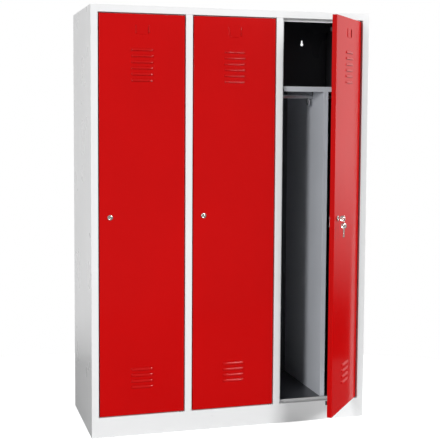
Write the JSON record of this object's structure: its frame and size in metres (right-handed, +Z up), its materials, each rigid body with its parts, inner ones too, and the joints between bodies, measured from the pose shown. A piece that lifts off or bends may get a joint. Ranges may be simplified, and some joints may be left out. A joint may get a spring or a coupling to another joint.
{
  "type": "clothing locker",
  "caption": "Tall sheet-steel clothing locker in side-by-side bays, with louvred hinged doors, cam locks, hat shelves, upright dividers and clothes rails with sliding hooks.",
  "frame": {"origin": "middle of the front face's lower edge, on the floor", "axes": "+X along the front to the viewer's right, +Y from the front to the back, +Z up"},
  "size_m": [1.23, 0.7649, 1.8],
  "materials": {
    "carcass_paint": "light grey powder coat, satin",
    "door_paint": "red powder coat, satin",
    "zinc_steel": "bright zinc plate",
    "nickel": "bright nickel plate",
    "bush_plastic": "black nylon",
    "buffer_rubber": "soft black rubber"
  },
  "bodies": {
    "carcass": {"left_side_panel": "carcass_paint", "right_side_panel": "carcass_paint", "mullion_left": "carcass_paint", "partition_left": "carcass_paint", "mullion_right": "carcass_paint", "partition_right": "carcass_paint", "back_panel": "carcass_paint", "roof_panel": "carcass_paint", "floor_panel": "carcass_paint", "plinth_front": "carcass_paint", "hat_shelf_1": "carcass_paint", "divider_1": "carcass_paint", "clothes_rail_1": "zinc_steel", "rail_brackets_1": "zinc_steel", "hinge_bushes_1": "bush_plastic", "hat_shelf_2": "carcass_paint", "divider_2": "carcass_paint", "clothes_rail_2": "zinc_steel", "rail_brackets_2": "zinc_steel", "hinge_bushes_2": "bush_plastic", "hat_shelf_3": "carcass_paint", "divider_3": "carcass_paint", "clothes_rail_3": "zinc_steel", "rail_brackets_3": "zinc_steel", "hinge_bushes_3": "bush_plastic"},
    "door_1": {"door_skin_1": "door_paint", "door_stiffener_1": "door_paint", "hinge_pins_1": "zinc_steel", "door_buffers_1": "buffer_rubber", "lock_body_1": "nickel", "lock_clip_1": "zinc_steel"},
    "lock_1": {"lock_plug_1": "nickel", "lock_cam_1": "zinc_steel"},
    "hook_1_left": {"coat_hook_1_left": "zinc_steel"},
    "hook_1_right": {"coat_hook_1_right": "zinc_steel"},
    "door_2": {"door_skin_2": "door_paint", "door_stiffener_2": "door_paint", "hinge_pins_2": "zinc_steel", "door_buffers_2": "buffer_rubber", "lock_body_2": "nickel", "lock_clip_2": "zinc_steel"},
    "lock_2": {"lock_plug_2": "nickel", "lock_cam_2": "zinc_steel"},
    "hook_2_left": {"coat_hook_2_left": "zinc_steel"},
    "hook_2_right": {"coat_hook_2_right": "zinc_steel"},
    "door_3": {"door_skin_3": "door_paint", "door_stiffener_3": "door_paint", "hinge_pins_3": "zinc_steel", "door_buffers_3": "buffer_rubber", "lock_body_3": "nickel", "lock_clip_3": "zinc_steel"},
    "lock_3": {"lock_plug_3": "nickel", "lock_cam_3": "zinc_steel", "key": "nickel"},
    "hook_3_left": {"coat_hook_3_left": "zinc_steel"},
    "hook_3_right": {"coat_hook_3_right": "zinc_steel"},
    "key_ring": {"key_ring": "nickel"},
    "spare_key": {"spare_key": "nickel"}
  },
  "joints": [
    {"name": "door_1_hinge", "type": "hinge", "parent": "carcass", "child": "door_1", "pos_m": [-0.23, 0.008, 0.928], "axis": [0, 0, 1], "range_deg": [0, 110]},
    {"name": "lock_1_turn", "type": "hinge", "parent": "door_1", "child": "lock_1", "pos_m": [-0.536, 0.008, 0.928], "axis": [0, 1, 0], "range_deg": [0, 90]},
    {"name": "hook_1_left_slide", "type": "slide", "parent": "carcass", "child": "hook_1_left", "axis": [1, 0, 0], "range_m": [-0.175, 0.015]},
    {"name": "hook_1_right_slide", "type": "slide", "parent": "carcass", "child": "hook_1_right", "axis": [1, 0, 0], "range_m": [-0.09, 0.06]},
    {"name": "door_2_hinge", "type": "hinge", "parent": "carcass", "child": "door_2", "pos_m": [0.17, 0.008, 0.928], "axis": [0, 0, 1], "range_deg": [0, 110]},
    {"name": "lock_2_turn", "type": "hinge", "parent": "door_2", "child": "lock_2", "pos_m": [-0.136, 0.008, 0.928], "axis": [0, 1, 0], "range_deg": [0, 90]},
    {"name": "hook_2_left_slide", "type": "slide", "parent": "carcass", "child": "hook_2_left", "axis": [1, 0, 0], "range_m": [-0.175, 0.015]},
    {"name": "hook_2_right_slide", "type": "slide", "parent": "carcass", "child": "hook_2_right", "axis": [1, 0, 0], "range_m": [-0.09, 0.06]},
    {"name": "door_3_hinge", "type": "hinge", "parent": "carcass", "child": "door_3", "pos_m": [0.57, 0.008, 0.928], "axis": [0, 0, 1], "range_deg": [-50, 60]},
    {"name": "lock_3_turn", "type": "hinge", "parent": "door_3", "child": "lock_3", "pos_m": [0.37331, -0.22641, 0.928], "axis": [-0.766, 0.6428, 0], "range_deg": [0, 90]},
    {"name": "hook_3_left_slide", "type": "slide", "parent": "carcass", "child": "hook_3_left", "axis": [1, 0, 0], "range_m": [-0.175, 0.015]},
    {"name": "hook_3_right_slide", "type": "slide", "parent": "carcass", "child": "hook_3_right", "axis": [1, 0, 0], "range_m": [-0.09, 0.06]},
    {"name": "key_ring_swing", "type": "hinge", "parent": "lock_3", "child": "key_ring", "pos_m": [0.40088, -0.24955, 0.9268], "axis": [0.6428, 0.766, 0], "range_deg": [-60, 12]},
    {"name": "spare_key_swing", "type": "hinge", "parent": "key_ring", "child": "spare_key", "pos_m": [0.40088, -0.24955, 0.9048], "axis": [-0.766, 0.6428, 0], "range_deg": [-20, 20]}
  ]
}
